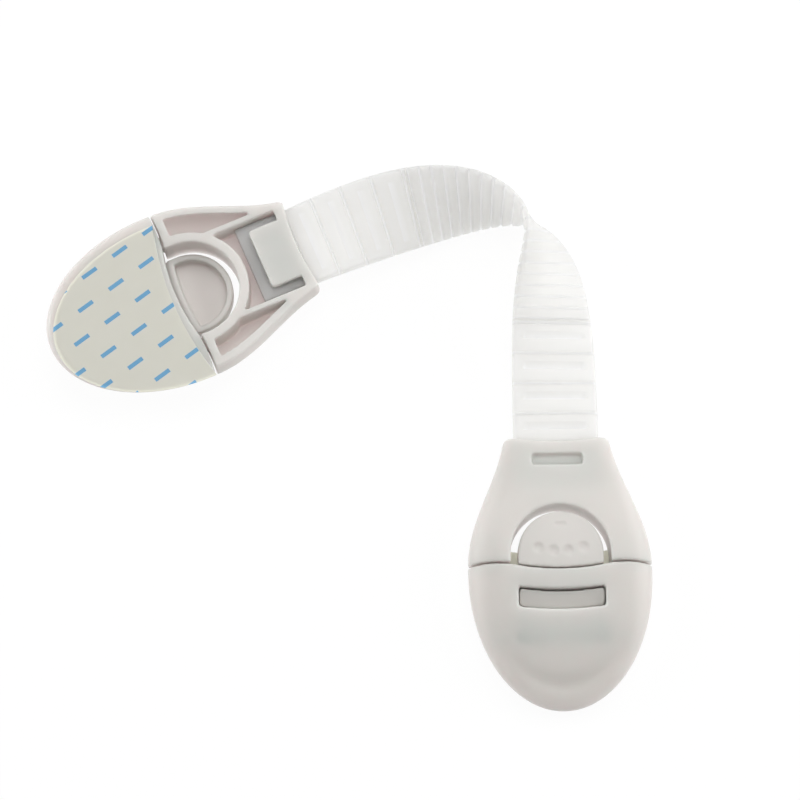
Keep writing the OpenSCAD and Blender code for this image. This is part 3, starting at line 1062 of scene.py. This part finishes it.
@dataclass
class Strap:
    """The milky ratchet strap, with its turn, its roll, its ribs and its ladder cells."""

    width: float = 21.5
    length: float = 118.5
    inside: float = 14.2
    web_t: float = 1.1
    thick: float = 2.0
    rib_n: int = 20
    rib_pitch: float = 2.85
    rib_half: float = 0.42
    sink_shares: tuple[float, float] = (0.1, 0.9)
    cells: int = 4
    cell_pitch: float = 7.75
    recess_u: float = 2.4
    recess_l: float = 2.0
    recess_b: float = 16.0
    recess_d: float = 0.8
    recess_face: float = 0.15
    recess_side: float = 0.3
    groove_l: float = 0.8
    groove_share: float = 0.53
    border: float = 1.2
    edge_r: float = 0.5
    line_d: float = 0.1
    line_b: float = 0.16
    head_turn: float = 91.0
    turn: float = 112.5
    turn_runs: tuple[float, float] = (5.7, 29.0)
    turn_share: float = 0.518
    roll_runs: tuple[float, float] = (24.0, 78.0)
    roll_share: float = 0.595
    lift: float = 0.2
    right_z: float = 4.3
    left_z: float = 7.2
    mouth_r: float = 50.45
    steps: int = 960
    slope_step: float = 0.12
    row_l: float = 0.12
    ring_n: int = 72

    def __post_init__(self) -> None:
        """Sums the strap's course in plan."""
        step = self.length / self.steps
        heading = radians(self.head_turn)
        point = Vector((cos(heading), sin(heading))) * self.mouth_r
        self.course = [point.copy()]
        for i in range(self.steps):
            heading = self.heading((i + 0.5) * step)
            point = point + step * Vector((cos(heading), sin(heading)))
            self.course.append(point.copy())

    def along(self, s: float, share: float, runs: tuple[float, float]) -> float:
        """Gives a smooth step from 0 to 1 along the strap.

        Args:
            s: Length along the strap from the right head.
            share: Where it is steepest, as a share of the length.
            runs: How slowly it rises before and after that place.

        Returns:
            The share of the step.
        """
        def ease(x: float, run: float) -> float:
            """Gives a smooth rise from -1 to 1."""
            return x / hypot(x, run)

        def bend(x: float) -> float:
            """Gives the rise with its two runs."""
            mid = (runs[0] + runs[1]) / 2
            return ease(x, mid + ease(x, mid) * (runs[1] - runs[0]) / 2)

        place = min(max(s, 0.0), self.length)
        low, high = bend(-share * self.length), bend((1 - share) * self.length)
        return (bend(place - share * self.length) - low) / (high - low)

    def heading(self, s: float) -> float:
        """Gives the strap's heading in plan, in radians."""
        return radians(self.head_turn + self.turn * self.along(s, self.turn_share, self.turn_runs))

    def roll(self, s: float) -> float:
        """Gives how far the strap has rolled over, in radians."""
        return pi * self.along(s, self.roll_share, self.roll_runs)

    def level(self, s: float) -> float:
        """Gives the height of the strap's middle line."""
        share = min(max(s, 0.0), self.length) / self.length
        flat = self.right_z + (self.left_z - self.right_z) * share
        return flat + (self.width / 2 + self.lift - flat) * sin(self.roll(s))

    def middle(self, s: float) -> Vector:
        """Gives a point of the middle line, carried on straight inside the housings."""
        place = min(max(s, 0.0), self.length)
        at = place / self.length * self.steps
        i = min(int(at), self.steps - 1)
        plan = self.course[i].lerp(self.course[i + 1], at - i)
        heading = self.heading(s)
        plan = plan + (s - place) * Vector((cos(heading), sin(heading)))
        return Vector((plan.x, plan.y, self.level(s)))

    def axes(self, s: float) -> tuple[Vector, Vector]:
        """Gives the strap's directions across its width and out of its ladder face."""
        heading, roll, step = self.heading(s), self.roll(s), self.slope_step
        slope = (self.level(s + step) - self.level(s - step)) / (2 * step)
        ahead = Vector((cos(heading), sin(heading), slope)).normalized()
        flat = Vector((-sin(heading), cos(heading), 0))
        up = ahead.cross(flat)
        return cos(roll) * flat + sin(roll) * up, cos(roll) * up - sin(roll) * flat

    def ribs_before(self, s: float) -> float:
        """Gives how many ribs lie before s."""
        start = (self.length - self.rib_n * self.rib_pitch) / 2
        return (s - start) / self.rib_pitch

    def past_recess(self, s: float) -> float:
        """Gives how far s lies past the first recess of the nearer end."""
        return min(s, self.length - s) - self.recess_u

    def groove(self, s: float) -> float:
        """Gives how deep the ribbed face is cut at s, as a share of the step from rib to web."""
        within = self.ribs_before(s)
        if 0 <= within <= self.rib_n:
            off = abs(within % 1 - 0.5) / self.rib_half
            return 1 - sqrt(max(0.0, 1 - off ** 3)) if off < 1 else 1.0
        cell = self.past_recess(s) / self.cell_pitch
        if cell < -1 or cell > self.cells:
            return 0.0
        off = abs(cell % 1 - self.groove_share) * self.cell_pitch / (self.groove_l / 2)
        return max(0.0, 1 - off ** 4)

    def line(self, s: float) -> float:
        """Gives the depth of the fine sink lines that the grooves leave on the ladder face."""
        within = self.ribs_before(s)
        cell = self.past_recess(s) / self.cell_pitch
        if 0 <= within <= self.rib_n:
            off = [(within % 1 - share) * self.rib_pitch for share in self.sink_shares]
        elif -1 < cell < self.cells:
            middle = (cell % 1 - self.groove_share) * self.cell_pitch
            off = [middle - self.groove_l / 2, middle + self.groove_l / 2]
        else:
            return 0.0
        return self.line_d * sum(exp(-((x / self.line_b) ** 2)) for x in off)

    def recess(self, s: float) -> float:
        """Gives the depth share of the ratchet recess at s: steep towards the head, then a ramp."""
        past = self.past_recess(s)
        if past / self.cell_pitch < -1 or past / self.cell_pitch > self.cells:
            return 0.0
        into = past % self.cell_pitch
        if into > self.recess_l:
            return 0.0
        return min(1.0, into / self.recess_face) * (1 - into / self.recess_l)

    def station(self, s: float) -> Station:
        """Gathers what the strap's skin needs at one place along it."""
        out, up = self.axes(s)
        return Station(self.middle(s), out, up, self.groove(s), self.recess(s), self.line(s))

    def height(self, station: Station, across: float, face: bool) -> float:
        """Gives how far the strap's skin is from its middle plane.

        Args:
            station: Place along the strap.
            across: Share of the half width, from -1 to 1.
            face: True on the ladder face, False on the ribbed face.

        Returns:
            The height, in millimetres.
        """
        v = across * self.width / 2
        edge = self.width / 2 - abs(v)
        ease = min(1.0, edge / self.border)
        round_off = sqrt(1 - (1 - min(1.0, edge / self.edge_r)) ** 2)
        half = (self.thick - (self.thick - self.web_t) * (1 - ease * (2 - ease))) / 2
        if face:
            well = min(1.0, max(0.0, (self.recess_b / 2 - abs(v)) / self.recess_side))
            return half * round_off - self.recess_d * station.recess * well - station.line
        return min(half, self.thick / 2 - (self.thick - self.web_t) * station.groove) * round_off

    def point(self, station: Station, across: float, face: bool) -> Vector:
        """Gives a point of the strap's skin, on its ladder face or on its ribbed face."""
        height = self.height(station, across, face) * (1 if face else -1)
        return station.middle + across * self.width / 2 * station.out + height * station.up

    def thinness(self, station: Station, across: float) -> float:
        """Gives the share of the full thickness that the ladder cells and the grooves take away."""
        cell = self.recess_d * station.recess if abs(across) * self.width < self.recess_b else 0.0
        return (cell + (self.thick - self.web_t) * station.groove) / self.thick

    def build(self) -> Solid:
        """Builds the strap from a grid wrapped round its course.

        Returns:
            The solid.
        """
        whole = self.length + 2 * self.inside
        rows = int(whole / self.row_l)
        stations = [self.station(-self.inside + whole * i / rows) for i in range(rows + 1)]

        def across(a: float) -> float:
            """Gives the share of the half width at a share of the turn."""
            return cos(pi * (2 * a if a <= 0.5 else 2 - 2 * a))

        def place(a: float, b: float) -> Vector:
            """Wraps the grid: the first half of a turn is the ladder face, the second the ribbed face."""
            return self.point(stations[round(b * rows)], across(a), a <= 0.5)

        bm = grid(self.ring_n, rows, place)
        # The UV map now holds the thinness, which paints a paler glow where the strap is thinner, standing in
        # for light shining through.
        shares = bm.loops.layers.uv.active
        for loop in corners(bm):
            a, b = loop[shares].uv
            loop[shares].uv = (self.thinness(stations[round(b * rows)], across(a)), 0)
        bmesh.ops.holes_fill(bm, edges=border(bm), sides=0)
        return Solid(bm)


@dataclass(frozen=True)
class Lamp:
    """One soft lamp: its place and the width of its square face in metres, and its power in watts."""

    name: str
    place: tuple[float, float, float]
    size: float
    power: float


@dataclass
class Studio:
    """Floor, lights and camera. The floor's sizes are metres."""

    target: tuple[float, float, float] = (-40.14, 60.49, 5.0)
    elevation: float = 74.34
    azimuth: float = -0.075
    distance: float = 669.5
    focal_px: float = 2647.7
    floor_half: float = 4.0
    floor_z: float = -0.0001
    paper_grey: float = 0.86
    glow: float = 1.03
    glow_share: float = 0.95
    seen_share: float = 0.9
    sky: float = 0.26
    lamps: tuple[Lamp, ...] = (
        Lamp("top", (0.08, 0.5, 0.95), 0.9, 6.0),
        Lamp("left", (-0.95, 0.2, 0.35), 0.6, 4.0),
        Lamp("right", (0.85, 0.2, 0.35), 0.6, 4.0),
    )

    def camera(self) -> None:
        """Sets the camera at the photograph's angle."""
        up, turn = radians(self.elevation), radians(self.azimuth)
        ahead = Vector((cos(up) * sin(turn), cos(up) * cos(turn), -sin(up)))
        data = bpy.data.cameras.new("camera")
        data.sensor_fit = "HORIZONTAL"
        data.sensor_width = SENSOR_MM
        data.lens = SENSOR_MM * self.focal_px / IMAGE_WIDTH_PX
        camera = show("camera", data)
        camera.location = (Vector(self.target) - self.distance * ahead) * MM
        camera.rotation_euler = ahead.to_track_quat("-Z", "Y").to_euler()
        bpy.context.scene.camera = camera

    def hang(self, lamp: Lamp) -> None:
        """Adds one soft lamp that looks at the middle of the object."""
        data = bpy.data.lights.new(lamp.name, "AREA")
        data.size = lamp.size
        data.energy = lamp.power
        light = show(lamp.name, data)
        light.location = lamp.place
        ahead = Vector(self.target) * MM - Vector(lamp.place)
        light.rotation_euler = ahead.to_track_quat("-Z", "Y").to_euler()

    def by_ray(self, tree: NodeTree, scattered: float, direct: float) -> NodeSocket:
        """Gives one value for camera, mirror and glass rays and another for the rest.

        Args:
            tree: Node tree that gets the nodes.
            scattered: Value for the rest.
            direct: Value for camera, mirror and glass rays.

        Returns:
            The value.
        """
        path = add_node(tree, "ShaderNodeLightPath").outputs
        first = maths(tree, "MAXIMUM", path["Is Camera Ray"], path["Is Glossy Ray"])
        share = maths(tree, "MAXIMUM", first, path["Is Transmission Ray"])
        return add_node(
            tree, "ShaderNodeMapRange", {"Value": share}, {"To Min": scattered, "To Max": direct},
        ).outputs[0]

    def world(self) -> None:
        """Lights the scene evenly and shows white behind it."""
        world = bpy.data.worlds.new("studio")
        tree = empty_tree(world)
        strength = self.by_ray(tree, self.sky, 1.0)
        light = add_node(tree, "ShaderNodeBackground", {"Strength": strength}, {"Color": WHITE})
        add_node(tree, "ShaderNodeOutputWorld", {"Surface": light.outputs[0]})
        bpy.context.scene.world = world

    def floor(self) -> None:
        """Lays a white light table that glows through thin walls and keeps a faint shadow."""
        bm = bmesh.new()
        bmesh.ops.create_grid(bm, x_segments=1, y_segments=1, size=self.floor_half)
        mesh = bpy.data.meshes.new("floor")
        bm.to_mesh(mesh)
        bm.free()
        floor = show("floor", mesh)
        floor.location = (0, 0, self.floor_z)
        material = bpy.data.materials.new("white_light_table")
        tree = empty_tree(material)
        grey = self.paper_grey
        paper = add_node(tree, "ShaderNodeBsdfDiffuse", values={"Color": (grey, grey, grey, 1)})
        white = add_node(tree, "ShaderNodeEmission", values={"Color": WHITE, "Strength": self.glow})
        share = self.by_ray(tree, self.glow_share, self.seen_share)
        mixed = add_node(
            tree, "ShaderNodeMixShader", {0: share, 1: paper.outputs[0], 2: white.outputs[0]},
        )
        add_node(tree, "ShaderNodeOutputMaterial", {"Surface": mixed.outputs[0]})
        mesh.materials.append(material)

    def build(self) -> None:
        """Builds the studio."""
        self.camera()
        self.floor()
        self.world()
        for lamp in self.lamps:
            self.hang(lamp)
        bpy.context.scene.view_settings.view_transform = "Standard"


def dress(piece: Object, material: Material, slot: str, node: str) -> None:
    """Gives a piece its material and says which part of the frame it stands for.

    Args:
        piece: Piece to dress.
        material: Its material.
        slot: Not used.
        node: Node of the frame that it replaces.
    """
    piece.data.materials.clear()
    piece.data.materials.append(material)
    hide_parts(node)
    LOG.info("%s: %d faces, for %s", piece.name, len(piece.data.polygons), node)


def head_place(side: Side, head: Head, strap: Strap) -> Matrix:
    """Gives the place of a head in the row frame.

    Args:
        side: Which head.
        head: Sizes of the head.
        strap: Strap that joins the heads.

    Returns:
        The matrix from the head's millimetres to the frame's metres.
    """
    scale = Matrix.Scale(MM, 4)
    if side is Side.RIGHT:
        turn = Matrix.Rotation(radians(strap.head_turn), 4, "Z")
        return scale @ turn @ Matrix.Translation((-head.origin_u, 0, head.tape_t))
    far = strap.middle(strap.length)
    turn = Matrix.Rotation(radians(strap.head_turn + strap.turn + 180), 4, "Z")
    over = Matrix.Rotation(pi, 4, "X")
    return (
        scale @ Matrix.Translation((far.x, far.y, head.head_h)) @ turn @ over
        @ Matrix.Translation((-head.housing_l, 0, 0))
    )


def build_heads(head: Head, strap: Strap) -> None:
    """Builds both heads and hangs their pieces on the frame.

    Args:
        head: Sizes of a head.
        strap: Strap that joins the heads.
    """
    shell, latch_plastic, foam, liner = (f.build() for f in (SHELL, LATCH, FOAM, LINER))
    base, housing, latch = head.base(), head.housing(), head.latch()
    for side in Side:
        name = side.value
        place = head_place(side, head, strap)
        slip = head.tape_slip if side is Side.LEFT else 0.0
        edge_u = head.liner_tab if side is Side.RIGHT else -head.tape_edge
        pad = head.tape(head.foam_inset, -head.foam_t, 0.0, -head.tape_edge, slip, head.foam_r)
        paper = head.tape(head.liner_inset, -head.tape_t, -head.foam_t, edge_u, slip, head.liner_r)
        for solid, part, material, slot, body in (
            (base, "base", shell, "shell", "base"),
            (housing, "strap_housing", shell, "shell", "strap_end"),
            (latch, "latch_button", latch_plastic, "latch", "latch"),
            (pad, "foam_pad", foam, "foam", "base"),
            (paper, "release_liner", liner, "liner", "base"),
        ):
            piece = solid.placed(f"{name}_{part}_skin", place)
            dress(piece, material, slot, f"{name}_{part}")
            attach(piece, f"{name}_{body}")
        pad.drop()
        paper.drop()
    for solid in (base, housing, latch):
        solid.drop()


def build_strap(strap: Strap) -> None:
    """Builds the strap in its fixed bent and rolled course.

    Args:
        strap: Sizes of the strap.
    """
    solid = strap.build()
    piece = solid.placed("strap_skin", Matrix.Scale(MM, 4))
    solid.drop()
    dress(piece, STRAP.build(), "strap", "strap")
    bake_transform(piece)


def main() -> None:
    """Builds the dressed model round the frame."""
    logging.basicConfig(level=logging.INFO, format="%(message)s")
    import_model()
    head, strap = Head(), Strap()
    Studio().build()
    build_heads(head, strap)
    build_strap(strap)


if __name__ == "__main__":
    main()
